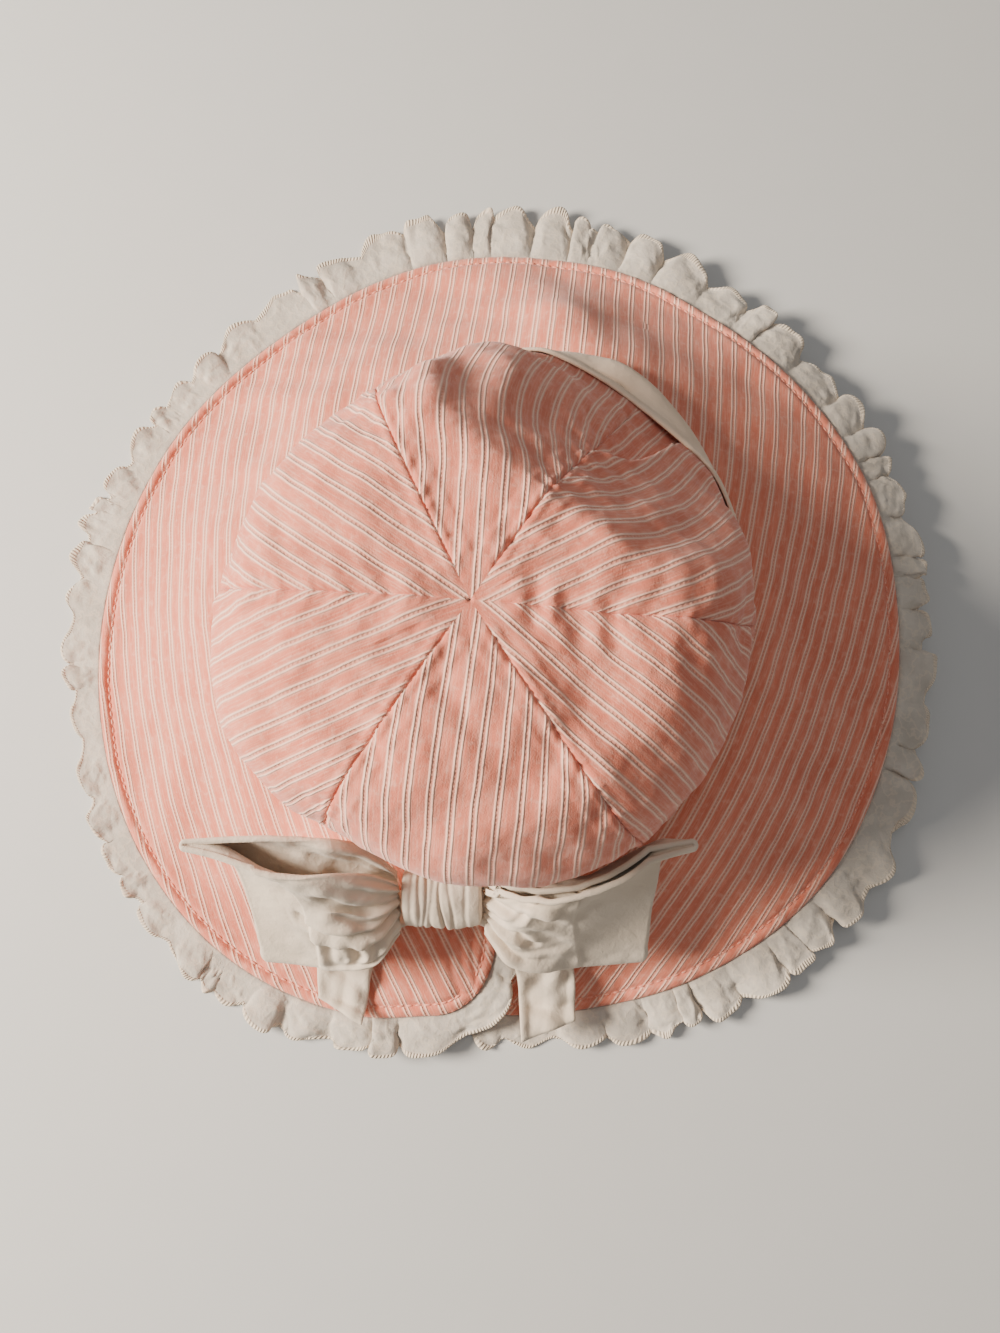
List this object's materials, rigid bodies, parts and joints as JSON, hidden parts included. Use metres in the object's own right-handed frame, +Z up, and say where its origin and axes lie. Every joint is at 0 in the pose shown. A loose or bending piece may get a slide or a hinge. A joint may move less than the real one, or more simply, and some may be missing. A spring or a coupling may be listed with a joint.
{
  "type": "baby sun bonnet",
  "caption": "Soft panelled baby sun hat with a wide split brim, a gathered ruffle round the hem and a tied bow at the back.",
  "frame": {"origin": "middle of the hat's bounding box, on the surface that it lies on", "axes": "+Z up through the crown, +Y towards the front of the hat, -Y towards the bow at the back, +X to the wearer's right"},
  "size_m": [0.2976, 0.3016, 0.1016],
  "materials": {
    "pink_stripe_cotton": "woven cotton with pairs of fine raised white stripes",
    "white_cotton": "plain matt cotton"
  },
  "bodies": {
    "root": {"crown_panel_1": "pink_stripe_cotton", "crown_panel_2": "pink_stripe_cotton", "crown_panel_3": "pink_stripe_cotton", "crown_panel_4": "pink_stripe_cotton", "crown_panel_5": "pink_stripe_cotton", "crown_panel_6": "pink_stripe_cotton", "hat_band": "white_cotton", "brim": "pink_stripe_cotton", "brim_ruffle": "white_cotton", "bow_knot": "white_cotton", "bow_loop_left": "white_cotton", "bow_loop_right": "white_cotton", "bow_tail_left": "white_cotton", "bow_tail_right": "white_cotton"}
  },
  "joints": []
}
